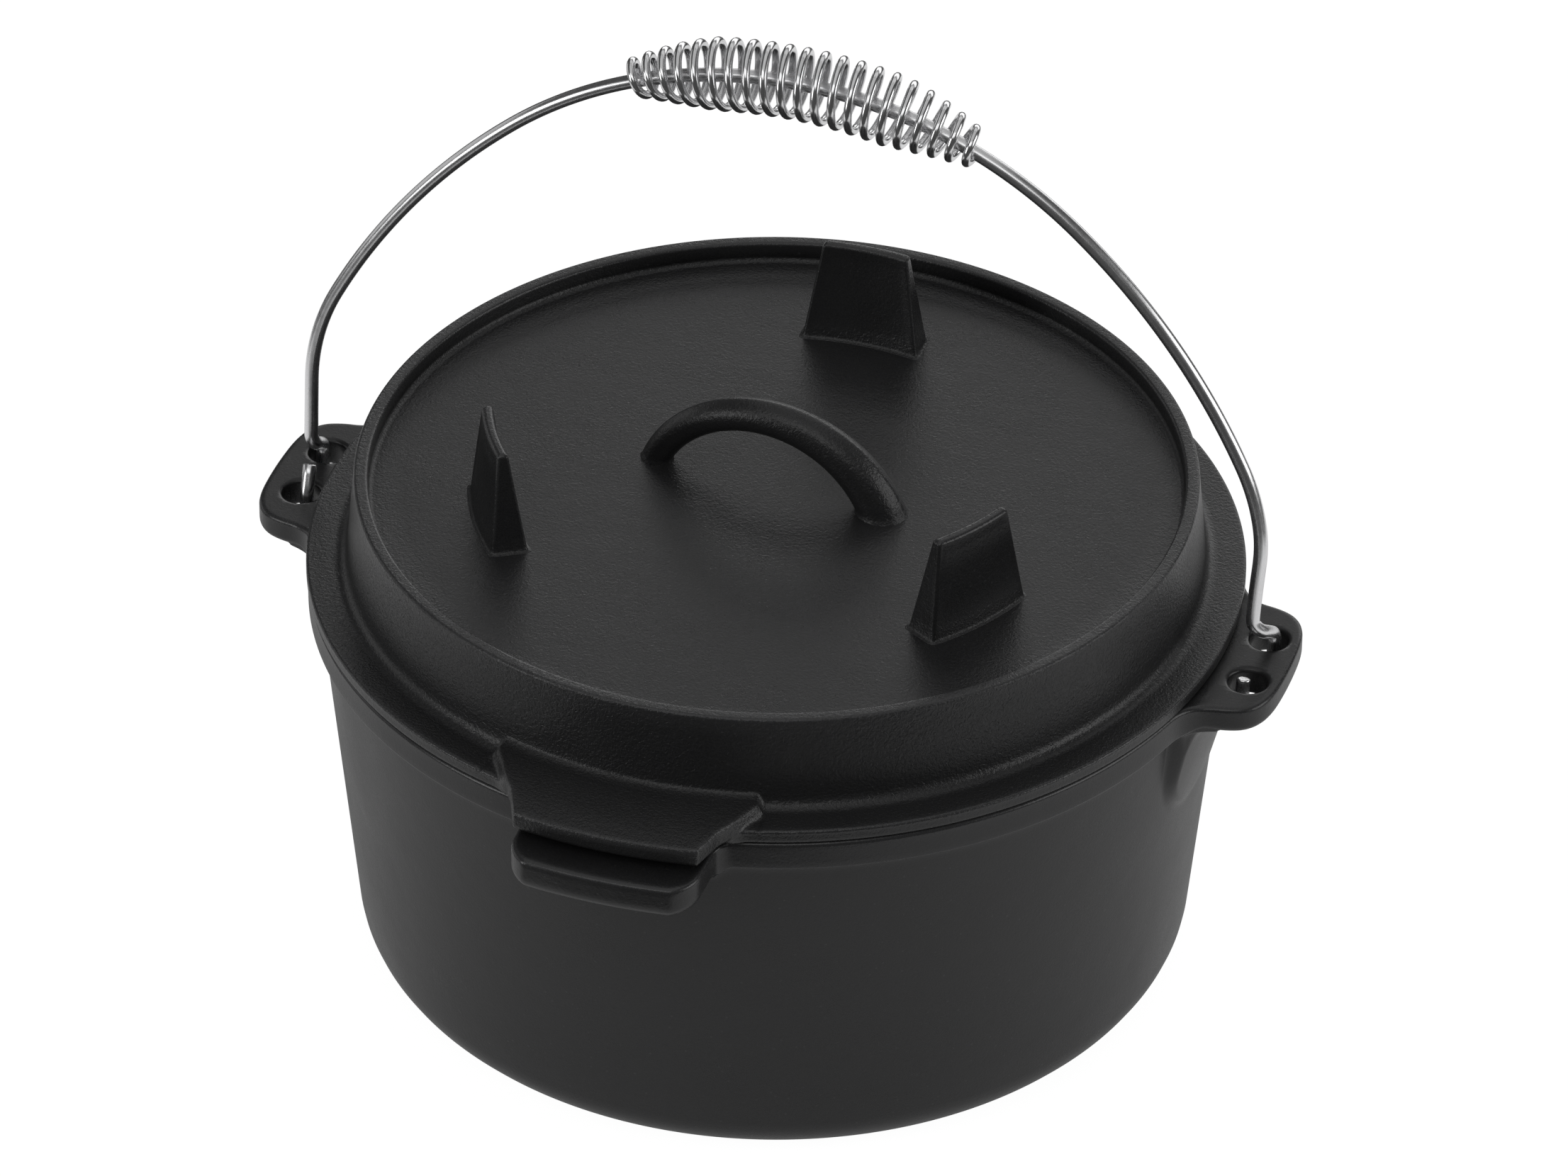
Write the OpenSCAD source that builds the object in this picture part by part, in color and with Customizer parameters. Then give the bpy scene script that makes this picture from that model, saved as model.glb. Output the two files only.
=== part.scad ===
// Camp dutch oven: a cast iron pot, a flanged lid that carries coals and turns over
// into a three-legged griddle, and a wire bail with a coil spring grip.
// Millimetres, +Z up, +X towards one ear, -Y towards the front tabs.
// The origin is the centre of the flat base on which the pot stands.

/* [Pot] */
// Height of the pot from its base to the rim on which the lid sits
pot_h = 136; // [90:1:180]
// Outer diameter of the thickened band round the rim
rim_d = 299; // [270:1:330]
// Height of the thickened rim band
rim_band_h = 14; // [12:0.5:20]
// How far the rim band stands out of the wall
rim_band_out = 4; // [2.5:0.25:6]
// Slope of the wall from the upright
wall_draft = 5.4; // [1:0.1:8]
// Thickness of the wall, measured level
pot_wall = 5; // [4:0.25:6]
// Thickness of the floor
pot_floor = 6; // [4:0.5:10]
// Radius of the outer corner between wall and base
base_round = 16; // [10:0.5:24]

/* [Pot ears] */
// Reach of an ear out of the rim
ear_out = 21.5; // [19:0.25:28]
// Width of an ear at its outer end
ear_w = 57; // [50:1:70]
// Width of an ear where it joins the rim
ear_root_w = 61; // [58:1:80]
// Corner radius of an ear, seen from above
ear_round = 17; // [8:0.5:20]
// Thickness of an ear
ear_t = 9.5; // [8:0.25:11]
// Draft of an ear's edge, measured level
ear_taper = 1.5; // [0.5:0.25:3]
// Step from the rim down to the top of an ear
ear_drop = 0.5; // [0.3:0.1:3]
// Distance of the middles of the bail holes from the rim
hole_out = 9.5; // [8:0.25:11]
// Distance between the two holes of an ear
hole_gap = 24; // [22:0.5:26]
// Diameter of the bail holes
hole_d = 12.5; // [11:0.25:13]
// Width of the rib that carries an ear
rib_w = 28; // [16:1:40]
// Reach of the rib out of the rim band
rib_out = 1.5; // [0.5:0.25:2.5]
// Height of the rib below the ear
rib_h = 44; // [25:1:60]
// Reach of the rib out of the wall at its foot
rib_foot_out = 2.5; // [0.5:0.25:4]

/* [Front tabs] */
// Reach of the pot's tab out of the rim
pot_tab_out = 26; // [18:0.5:34]
// Width of the pot's tab
pot_tab_w = 61; // [50:1:80]
// Thickness of the pot's tab
pot_tab_t = 11.5; // [8:0.5:13]
// Corner radius of the pot's tab
pot_tab_round = 13; // [6:0.5:18]
// Step from the rim down to the pot's tab
pot_tab_drop = 1; // [0.5:0.25:3]
// Reach of the lid's tab out of the flange
lid_tab_out = 17; // [10:0.5:22]
// Width of the lid's tab at its outer end
lid_tab_w = 61; // [48:1:76]
// Slant of the sides of the lid's tab
lid_tab_slant = 19; // [10:1:30]
// Flare of the lid's tab where it meets the skirt
lid_tab_flare = 8; // [3:0.5:12]
// Height of the lid's tab above the flange
lid_tab_up = 4; // [2:0.5:6]
// Lifting gap cut under the lid's tab
lid_tab_gap = 2.5; // [1:0.25:3.5]

/* [Lid] */
// How far the lid's flange reaches past the pot's rim
flange_out = 0.5; // [0:0.25:3]
// Thickness of the flange
flange_t = 5; // [4:0.25:8]
// Height of the lid's raised rim above the flange
lid_rise = 31; // [20:0.5:40]
// Lean of the skirt, from the flange in to the raised rim
skirt_run = 8.3; // [6:0.1:12]
// Width of the flange outside the skirt
flange_w = 7.5; // [6:0.25:9]
// Width of the raised rim on top
lid_land = 4.5; // [3:0.25:7]
// Depth of the coal tray inside the raised rim
tray_depth = 7; // [4:0.5:12]
// Thickness of the lid's plate
plate_t = 6; // [5:0.25:8]
// Thickness of the lid's skirt, measured level
skirt_t = 5.5; // [4:0.25:7]
// Depth of the ring under the lid that centres it in the pot
lip_depth = 4; // [2:0.5:8]
// Clearance between that ring and the pot
lip_clearance = 1; // [0.5:0.1:2]

/* [Lid legs] */
// Number of legs on which the turned lid stands
leg_count = 3; // [3:1:4]
// Radius of the ring on which the legs stand
leg_ring_r = 91.5; // [80:0.5:100]
// Height of a leg above the plate
leg_h = 34; // [24:0.5:44]
// Width of a leg at its foot
leg_w = 39; // [30:0.5:46]
// Width of a leg at its top edge
leg_top_w = 28.6; // [16:0.2:30]
// Thickness of a leg at its foot
leg_t = 11.4; // [8:0.25:14]
// Thickness of a leg at its top edge
leg_top_t = 3.3; // [2.6:0.1:7]

/* [Lid handle] */
// Distance between the middles of the handle's feet
handle_span = 75.5; // [60:0.5:90]
// Rise of the middle of the bar above the plate
handle_rise = 25.5; // [21:0.5:30]
// Thickness of the handle's bar at its foot towards -X
handle_left_d = 9; // [8:0.25:14]
// Thickness of the handle's bar at its foot towards +X
handle_right_d = 15.5; // [9:0.25:17]
// Place of the handle along X, from the middle of the lid
handle_x = -4; // [-6:0.5:6]
// Place of the handle along Y, from the middle of the lid
handle_y = 1; // [-6:0.5:6]
// Turn of the handle from the X axis
handle_turn = -4; // [-8:0.5:8]

/* [Bail] */
// Diameter of the bail's wire
wire_d = 4.5; // [3.5:0.1:4.8]
// Rise of the top of the bail above the line on which it swings
bail_rise = 177.8; // [172:0.2:210]
// Radius of the bend at the foot of the arch
foot_bend_r = 74; // [60:1:110]
// Turn of the bend at the foot of the arch
foot_turn = 27; // [22:0.5:30]
// Radius of the arch's shoulders
shoulder_r = 228; // [210:1:240]
// Turn of each shoulder
shoulder_turn = 23.4; // [20:0.2:27]
// Lean of the standing bail towards the back
bail_lean = 5; // [0:0.5:12]
// Radius of the two bends that set the hook off to the rear hole
jog_r = 6; // [5:0.25:7]
// Slope of the wire between those bends, from the upright
jog_turn = 60; // [52:1:66]
// Straight wire between the lower jog bend and the round of the hook
jog_drop = 4.5; // [1.5:0.25:6]
// Turn of each hook towards the pot, seen from above
hook_yaw = 15.5; // [0:0.5:16]
// Turn of the hook's end beyond the upright at the -X side
curl_left = 28; // [25:1:34]
// Turn of the hook's end beyond the upright at the +X side
curl_right = 13; // [8:1:15]
// Height of the wire's end above the ear at the -X side
stub_left = 6.5; // [5:0.25:10.5]
// Height of the wire's end above the ear at the +X side
stub_right = -1.2; // [-1.2:0.1:3]

/* [Coil grip] */
// Number of curls in the grip
coil_turns = 21; // [14:1:24]
// Diameter of the spring's wire
coil_wire_d = 2.8; // [2:0.1:3]
// Length of the grip along the arch
coil_len = 113; // [100:1:126]
// Place of the grip's middle along the arch, from its top
coil_shift = 3.5; // [-8:0.5:8]
// Outer diameter of the grip in the middle
coil_d = 24; // [18:0.5:30]
// Outer diameter of the grip's end curls
coil_end_d = 13; // [12.4:0.1:16]
// Share of the length over which each end widens
coil_ramp = 0.25; // [0.1:0.01:0.45]
// Gap left between the end curls and the bail's wire
coil_seat = 0.3; // [0.2:0.05:0.6]

/* [Hidden] */
$fn = 96;
// Facets in each rounded corner of a turned profile
corner_steps = 6;
// Small overlap that joins shapes of one casting
weld = 0.5;
// Thickness and length of the sleeve over each seam of a bent bar
seam_skin = 0.03;
seam_length = 0.6;
// Rounds and fillets of the castings
edge_round = 1.5;
rim_fillet = 5;
inner_round = 10;
skirt_fillet = 6;
tray_fillet = 5;
lid_inner_fillet = 8;
leg_edge = 1.4;
leg_fillet = 3;
handle_flare = 1.5;
rib_round = 5;

// Pot: radii of the sloping wall at a height
wall_d = rim_d - 2 * rim_band_out;
wall_slope = tan(wall_draft);
band_z = pot_h - rim_band_h;
function wall_r(z) = wall_d / 2 - (band_z - z) * wall_slope;
function cavity_r(z) = wall_r(z) - pot_wall;
rim_root = (cavity_r(pot_h) + rim_d / 2) / 2;

// Ears and the line on which the bail swings
ear_reach = rim_d / 2 + ear_out;
hole_x = rim_d / 2 + hole_out;
ear_top = pot_h - ear_drop;
swing_z = ear_top - ear_t / 2;
hook_r = hole_gap / 2;

// Lid diameters and heights
flange_d = rim_d + 2 * flange_out;
skirt_d = flange_d - 2 * flange_w;
lid_rim_d = skirt_d - 2 * skirt_run;
lid_tab_reach = flange_d / 2 + lid_tab_out;
lid_z = pot_h;
flange_z = lid_z + flange_t;
lid_top = flange_z + lid_rise;
plate_z = lid_top - tray_depth;
lip_r = cavity_r(pot_h) - lip_clearance;

// Lid legs and handle
leg_turn = 360 / leg_count;
handle_r = (pow(handle_span / 2, 2) + pow(handle_rise, 2)) / (2 * handle_rise);
handle_half = asin(handle_span / 2 / handle_r);
// The handle's bar runs on into the plate by this angle, and is swept in so many steps of so many sides
handle_sink = 5;
handle_steps = 24;
handle_sides = 16;
function handle_d(t) = handle_left_d + (handle_right_d - handle_left_d) * pow(t, 1.4);
function handle_ring(t) =
    let (a = (2 * t - 1) * (handle_half + handle_sink), up = [sin(a), 0, cos(a)],
         middle = handle_r * up + [0, 0, handle_rise - handle_r])
    [for (k = [0:handle_sides - 1]) let (b = 360 * k / handle_sides)
     middle + handle_d(t) / 2 * (cos(b) * up + sin(b) * [0, 1, 0])];

// Bail hook, in the plane of an ear's holes: the jog from the leg to the rear hole, then round under the web
jog_straight = (hook_r - 2 * jog_r * (1 - cos(jog_turn))) / sin(jog_turn);
jog_top = jog_drop + 2 * jog_r * sin(jog_turn) + jog_straight * cos(jog_turn);
function hook_runs(curl, stub) = [
    [0, jog_r, -jog_turn], [jog_straight, 0, 0], [0, jog_r, jog_turn], [jog_drop, 0, 0],
    [0, hook_r, 180 + curl], [max(weld, (ear_t / 2 + stub - hook_r * sin(curl)) / cos(curl)), 0, 0]];

// Bail arch: headings between its bends, and the crown's radius that makes it span from hook to hook
arch_turns = [0, foot_turn, foot_turn + shoulder_turn, 180 - foot_turn - shoulder_turn, 180 - foot_turn, 180];
function span_of(i) = cos(arch_turns[i]) - cos(arch_turns[i + 1]);
crown_r = (2 * hole_x - foot_bend_r * (span_of(0) + span_of(4)) - shoulder_r * (span_of(1) + span_of(3)))
          / span_of(2);
arch_radii = [foot_bend_r, shoulder_r, crown_r, shoulder_r, foot_bend_r];
arch_bends = [for (i = [0:4]) [0, arch_radii[i], arch_turns[i + 1] - arch_turns[i]]];
crown_z = bail_rise - crown_r;
foot_z = crown_z - centre_of(place(arch_bends, [-hole_x, 0, 0], 2), arch_bends[2])[1];
arch_leg = [foot_z - jog_top, 0, 0];
arch_runs = concat([arch_leg], arch_bends, [arch_leg]);

// Coil grip: the middle of its tube at share t of the length
coil_sit = coil_end_d / 2 - coil_wire_d - wire_d / 2 - coil_seat;
coil_rings = 8;
coil_sides = 6;
coil_steps = coil_turns * coil_rings;
function coil_swell(t) = min(1, t / coil_ramp, (1 - t) / coil_ramp);
function coil_r(t) = (coil_end_d + (coil_d - coil_end_d) * coil_swell(t) - coil_wire_d) / 2;
function coil_axis_r(t) = crown_r + coil_sit * pow(2 * t - 1, 2);
function coil_heading(t) = 90 + ((t - 0.5) * coil_len + coil_shift) / crown_r * 180 / PI;
function coil_point(t) =
    let (turn = 360 * coil_turns * t, out = coil_axis_r(t) + coil_r(t) * cos(turn), h = coil_heading(t))
    [-out * cos(h), -coil_r(t) * sin(turn), crown_z + out * sin(h)];
function unit(v) = v / norm(v);
coil_first = unit(coil_point(1 / coil_steps) - coil_point(0));
coil_last = unit(coil_point(1) - coil_point(1 - 1 / coil_steps));
coil_path = concat([coil_point(0) - coil_wire_d * coil_first],
                   [for (i = [0:coil_steps]) coil_point(i / coil_steps)],
                   [coil_point(1) + coil_wire_d * coil_last]);
coil_gap = min([for (i = [0:coil_steps - coil_rings])
                for (j = [i + coil_rings - 3:min(i + coil_rings + 3, coil_steps)])
                norm(coil_path[i] - coil_path[j])]) - coil_wire_d;
echo(coil_least_gap = coil_gap);

// Points of an outline whose corners [x, y, radius] are rounded
function rounded(corners) =
    let (n = len(corners))
    [for (i = [0:n - 1]) each round_corner(corners[(i + n - 1) % n], corners[i], corners[(i + 1) % n])];
function flat(p) = [p[0], p[1]];
function round_corner(a, b, c) =
    b[2] == 0 ? [flat(b)] :
    let (u = unit(flat(a) - flat(b)), v = unit(flat(c) - flat(b)),
         half = acos(max(-1, min(1, u * v))) / 2,
         middle = flat(b) + unit(u + v) * b[2] / sin(half),
         from = flat(b) + u * b[2] / tan(half) - middle,
         to = flat(b) + v * b[2] / tan(half) - middle,
         start = atan2(from[1], from[0]),
         sweep = (atan2(to[1], to[0]) - start + 540) % 360 - 180)
    [for (i = [0:corner_steps]) let (a = start + sweep * i / corner_steps) middle + b[2] * [cos(a), sin(a)]];

// Ring of the coil's tube about point i of its path, set square to the path and turned to the coil's axis
function ring_at(path, i) =
    let (n = len(path), ahead = unit(path[min(i + 1, n - 1)] - path[max(i - 1, 0)]),
         axis = [-cos(coil_heading(i / (n - 1))), 0, sin(coil_heading(i / (n - 1)))],
         spine = [0, 0, crown_z] + coil_axis_r(i / (n - 1)) * axis,
         side = unit(cross(ahead, path[i] - spine)), up = cross(side, ahead))
    [for (k = [0:coil_sides - 1]) path[i] + coil_wire_d / 2 * (cos(60 * k) * side + sin(60 * k) * up)];
// Closed skin over a list of rings that have as many points each
module skinned(rings) {
    n = len(rings);
    s = len(rings[0]);
    points = [for (ring = rings) each ring];
    walls = [for (i = [0:n - 2]) for (k = [0:s - 1])
             each let (a = i * s + k, b = i * s + (k + 1) % s) [[a, b, b + s], [a, b + s, a + s]]];
    start_cap = [for (k = [1:s - 2]) [0, k + 1, k]];
    end_cap = [for (k = [1:s - 2]) (n - 1) * s * [1, 1, 1] + [0, k, k + 1]];
    polyhedron(points, concat(walls, start_cap, end_cap));
}

// Round bar in the XZ plane: each run is [length, 0, 0] or [0, radius, turn], a turn to +X from upright being
// positive, and a place is [x, z, heading from the upright]
function centre_of(at, run) = [at[0], at[1]] + sign(run[2]) * run[1] * [cos(at[2]), -sin(at[2])];
function after(at, run) =
    run[1] == 0 ? [at[0] + run[0] * sin(at[2]), at[1] + run[0] * cos(at[2]), at[2]] :
    let (c = centre_of(at, run), h = at[2] + run[2], out = sign(run[2]) * run[1])
    [c[0] - out * cos(h), c[1] + out * sin(h), h];
function place(runs, start, n) = n == 0 ? start : after(place(runs, start, n - 1), runs[n - 1]);
module bend(at, run, d) {
    c = centre_of(at, run);
    from = run[2] > 0 ? 180 - at[2] - run[2] : -at[2];
    translate([c[0], 0, c[1]]) rotate([90, 0, 0]) rotate(from)
        rotate_extrude(angle = abs(run[2])) translate([run[1], 0]) circle(d = d);
}
module straight(at, length, d) {
    translate([at[0], 0, at[1]]) rotate([0, at[2], 0]) cylinder(d = d, h = length);
}
module bent_bar(runs, start, d, joined) {
    for (i = [0:len(runs) - 1]) {
        at = place(runs, start, i);
        if (runs[i][1] == 0) straight(at, runs[i][0], d);
        else bend(at, runs[i], d);
        // a hair-thin sleeve over the seam makes two runs one solid
        if (i > 0 || joined) translate([at[0], 0, at[1]]) rotate([0, at[2], 0])
            cylinder(d = d + 2 * seam_skin, h = seam_length, center = true);
    }
}

// Outline of a tab or ear that grows out of the rim along +X, with its end curved about the middle of the pot
module lug_outline(root, reach, root_w, w, r) {
    intersection() {
        polygon(rounded([[root, -root_w / 2, 0], [rim_d / 2, -root_w / 2, 0], [reach, -w / 2, r],
                         [reach, w / 2, r], [rim_d / 2, root_w / 2, 0], [root, root_w / 2, 0]]));
        circle(r = reach);
    }
}
module lug(root, reach, root_w, w, r, top, t, taper) {
    hull() {
        translate([0, 0, top - t / 2]) linear_extrude(t / 2) lug_outline(root, reach, root_w, w, r);
        translate([0, 0, top - t]) linear_extrude(t)
            lug_outline(root, reach - taper, root_w - 2 * taper, w - 2 * taper, r);
    }
}

module pot_shell() {
    rotate_extrude() polygon(rounded([
        [0, 0, 0], [wall_r(0), 0, base_round], [wall_r(band_z), band_z, rim_fillet],
        [rim_d / 2, band_z + (rim_d / 2 - wall_r(band_z)), edge_round], [rim_d / 2, pot_h, edge_round],
        [cavity_r(pot_h), pot_h, edge_round], [cavity_r(pot_floor), pot_floor, inner_round],
        [0, pot_floor, 0]]));
}

module ear() {
    lug(rim_root, ear_reach, ear_root_w, ear_w, ear_round, ear_top, ear_t, ear_taper);
    rib_top = ear_top - ear_t / 2;
    rib_foot = ear_top - ear_t - rib_h;
    hull() {
        for (side = [-1, 1])
            translate([rim_d / 2 + rib_out - rib_round, side * (rib_w / 2 - rib_round), rib_top])
            cylinder(r = rib_round, h = weld, $fn = 32);
        for (side = [-1, 1]) translate([wall_r(rib_foot) + rib_foot_out - rib_round,
                                               side * (rib_w / 4 - rib_round / 2), rib_foot])
            sphere(r = rib_round, $fn = 32);
    }
}

module pot() {
    color([0.13, 0.13, 0.13])
    difference() {
        union() {
            pot_shell();
            for (turn = [0, 180]) rotate(turn) difference() {
                ear();
                cylinder(r = rim_root - weld, h = pot_h);
            }
            rotate(-90) lug(rim_root, rim_d / 2 + pot_tab_out, pot_tab_w, pot_tab_w, pot_tab_round,
                            pot_h - pot_tab_drop, pot_tab_t, ear_taper);
        }
        for (x = [-hole_x, hole_x]) for (y = [-hook_r, hook_r])
            translate([x, y, ear_top - 2 * ear_t]) cylinder(d = hole_d, h = 3 * ear_t);
    }
}

module lid_shell() {
    rotate_extrude() polygon(rounded([
        [0, plate_z, 0], [lid_rim_d / 2 - lid_land, plate_z, tray_fillet],
        [lid_rim_d / 2 - lid_land, lid_top, edge_round], [lid_rim_d / 2, lid_top, edge_round],
        [skirt_d / 2, flange_z, skirt_fillet], [flange_d / 2, flange_z, edge_round],
        [flange_d / 2, lid_z, edge_round], [lip_r, lid_z, 0], [lip_r, lid_z - lip_depth, edge_round],
        [skirt_d / 2 - skirt_t, lid_z - lip_depth, edge_round], [skirt_d / 2 - skirt_t, flange_z, edge_round],
        [lid_rim_d / 2 - skirt_t, plate_z - plate_t, lid_inner_fillet], [0, plate_z - plate_t, 0]]));
}

// A leg follows the lid's round: its section is turned about the middle of the lid, and cut to its front view
module lid_leg() {
    leg_half = asin((leg_w / 2 + leg_fillet) / leg_ring_r) + 1;
    intersection() {
        rotate(-leg_half) rotate_extrude(angle = 2 * leg_half)
            translate([leg_ring_r, plate_z]) polygon(leg_view(leg_t, leg_top_t, leg_edge));
        rotate([90, 0, 90]) linear_extrude(2 * leg_ring_r)
            translate([0, plate_z]) polygon(leg_view(leg_w, leg_top_w, 2 * leg_edge));
    }
}
// Tapered upright with a filleted foot and a rounded top
function leg_view(foot_w, top_w, r) =
    let (f = foot_w / 2 + leg_fillet)
    rounded([[-f, -weld, 0], [f, -weld, 0], [f, 0, 0], [foot_w / 2, 0, leg_fillet], [top_w / 2, leg_h, r],
             [-top_w / 2, leg_h, r], [-foot_w / 2, 0, leg_fillet], [-f, 0, 0]]);

module lid_handle() {
    translate([handle_x, handle_y, plate_z]) rotate(handle_turn) {
        skinned([for (i = [0:handle_steps]) handle_ring(i / handle_steps)]);
        for (foot = [[-1, handle_left_d], [1, handle_right_d]])
            translate([foot[0] * handle_span / 2, 0, -weld])
                cylinder(d1 = foot[1] + 2 * handle_flare, d2 = foot[1], h = handle_flare + weld);
    }
}

module lid_tab() {
    end_w = lid_tab_w / 2;
    neck_w = end_w + lid_tab_out * tan(lid_tab_slant);
    root_w = neck_w + lid_tab_flare;
    neck = -flange_d / 2;
    root = lid_tab_flare + flange_w + neck;
    translate([0, 0, lid_z + lid_tab_gap]) linear_extrude(flange_t - lid_tab_gap + lid_tab_up)
        intersection() {
            polygon([[-root_w, root], [-neck_w, neck], [-end_w, -lid_tab_reach],
                     [end_w, -lid_tab_reach], [neck_w, neck], [root_w, root]]);
            circle(r = lid_tab_reach);
        }
}

module lid() {
    color([0.11, 0.11, 0.11]) {
        lid_shell();
        lid_tab();
        lid_handle();
        for (i = [0:leg_count - 1]) rotate(90 + i * leg_turn) lid_leg();
    }
}

// Stands the bail up on the line through the middles of the ears' webs
module at_swing_line() {
    translate([0, 0, swing_z]) rotate([-bail_lean, 0, 0]) children();
}

module bail_wire() {
    color([0.75, 0.75, 0.76]) at_swing_line() {
        bent_bar(arch_runs, [-hole_x, jog_top, 0], wire_d, false);
        translate([-hole_x, 0, 0]) rotate(90 + hook_yaw)
            bent_bar(hook_runs(curl_left, stub_left), [0, jog_top, 180], wire_d, true);
        translate([hole_x, 0, 0]) rotate(90 - hook_yaw)
            bent_bar(hook_runs(curl_right, stub_right), [0, jog_top, 180], wire_d, true);
    }
}

module coil_grip() {
    color([0.78, 0.78, 0.79]) at_swing_line()
        skinned([for (i = [0:len(coil_path) - 1]) ring_at(coil_path, i)]);
}

pot();
lid();
bail_wire();
coil_grip();
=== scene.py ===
import bpy
import numpy as np
from mathutils import Matrix, Vector


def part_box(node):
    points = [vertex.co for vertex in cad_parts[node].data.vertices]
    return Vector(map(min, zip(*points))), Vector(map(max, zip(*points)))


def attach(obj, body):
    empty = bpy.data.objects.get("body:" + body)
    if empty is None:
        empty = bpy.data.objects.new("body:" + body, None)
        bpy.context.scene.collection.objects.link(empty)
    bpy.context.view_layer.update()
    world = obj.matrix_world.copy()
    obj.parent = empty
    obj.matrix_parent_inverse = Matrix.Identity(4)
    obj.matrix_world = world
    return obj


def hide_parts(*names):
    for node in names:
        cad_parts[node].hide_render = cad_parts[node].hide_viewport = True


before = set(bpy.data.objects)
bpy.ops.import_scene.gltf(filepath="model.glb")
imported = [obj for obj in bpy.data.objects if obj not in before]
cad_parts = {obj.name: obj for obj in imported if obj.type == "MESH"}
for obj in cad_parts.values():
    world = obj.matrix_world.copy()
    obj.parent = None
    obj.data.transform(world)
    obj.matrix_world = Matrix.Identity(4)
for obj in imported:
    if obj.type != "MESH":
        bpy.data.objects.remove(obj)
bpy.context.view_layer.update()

# The pot: one black iron casting with a drafted wall, a rim band, two pierced ears and a front tab.
# It is sand cast, so its lugs are tapered, its corners are filleted and its skin is finely grained.
# Its surface is one grid: rows follow the profile from the base to the inside floor, columns go round.
MM = 0.001
pot_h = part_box("pot")[1].z / MM
ear_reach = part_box("pot")[1].x / MM
pot_tab_reach = -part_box("pot")[0].y / MM
rim_r, band_z, wall_at_band = 149.5, 122.0, 145.5
draft = np.tan(np.radians(5.4))
wall_t, floor_t, base_round, rim_in = 5, 6, 16, 145.0
lug_root, ear_sunk, pot_tab_sunk = 120, 0.5, 0.5
ear_under, tab_under = pot_h - 10.2, pot_h - 12.5
ear_w, ear_end_w, ear_corner, ear_bow, ear_fillet = 64.5, 56.5, 24, 6, 10
pot_tab_w, pot_tab_corner, pot_tab_fillet = 61, 13, 5
gusset_from, gusset_foot, gusset_low, gusset_gain, gusset_half = 76, 85, 0.8, 6.4, 34
gusset_w, gusset_foot_w, gusset_corner = 68, 64, 23
column_count, pot_span = 640, (rim_r - 2, 180)


def ease(low, high, x):
    """Smooth step: 0 up to low, 1 from high on, and 3t^2 - 2t^3 between them."""
    t = np.clip((x - low) / (high - low), 0, 1)
    return t * t * (3 - 2 * t)


def bell(distance, width):
    """A bell of height 1 at distance 0: e to the power of -(distance / width)^2."""
    return np.exp(-((distance / width) ** 2))


def soften(a, b, width):
    """Smooth least of two distances: min(a, b) - width h(1 - h) near a = b, which fillets the corner between them."""
    h = np.clip(0.5 + 0.5 * (b - a) / width, 0, 1)
    return b + (a - b) * h - width * h * (1 - h)


def edge_drop(inward, radius):
    """Height lost at a rounded edge, a quarter circle: radius - sqrt(radius^2 - (radius - inward)^2)."""
    return radius - np.sqrt(np.maximum(radius ** 2 - np.clip(radius - inward, 0, radius) ** 2, 0))


def lug(u, v, root, end, root_w, end_w, corner):
    """Signed distance to a tapered lug from root to end along u, with rounded corners at its end; below 0 inside."""
    lean = (root_w - end_w) / 2 / (end - root)
    drawn_in = corner * np.hypot(1, lean)
    w0, w1 = root_w / 2 - drawn_in, end_w / 2 + corner * lean - drawn_in
    corners = [(root, -w0), (end - corner, -w1), (end - corner, w1), (root, w0)]
    near, inside = np.full(np.shape(u), np.inf), np.full(np.shape(u), True)
    for (u0, v0), (u1, v1) in zip(corners, corners[1:] + corners[:1]):
        du, dv = u1 - u0, v1 - v0
        t = np.clip(((u - u0) * du + (v - v0) * dv) / (du * du + dv * dv), 0, 1)
        near = np.minimum(near, np.hypot(u - u0 - t * du, v - v0 - t * dv))
        inside &= du * (v - v0) - dv * (u - u0) >= 0
    return np.where(inside, -near, near) - corner


def radius_at(plan, low, high, angle):
    """Radius at which plan(radius, angle) passes 0, found by halving between low and high."""
    low, high = np.full_like(angle, low), np.full_like(angle, high)
    for _ in range(40):
        middle = (low + high) / 2
        inside = plan(middle, angle) < 0
        low, high = np.where(inside, middle, low), np.where(inside, high, middle)
    return (low + high) / 2


def columns(plan, low, high, count):
    """Angles spaced along the outline by its own length, three times as close on the lugs and round the front."""
    angle = np.linspace(0, 2 * np.pi, 20001)
    out = radius_at(plan, low, high, angle)
    close = (out > out.min() + 0.4) | (np.abs(angle - 1.5 * np.pi) < 0.36)
    step = np.hypot(np.diff(out), out[1:] * np.diff(angle)) * np.where(close[1:], 3, 1)
    length = np.concatenate([[0], np.cumsum(step)])
    return np.interp(np.linspace(0, length[-1], count, endpoint=False), length, angle)


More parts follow.
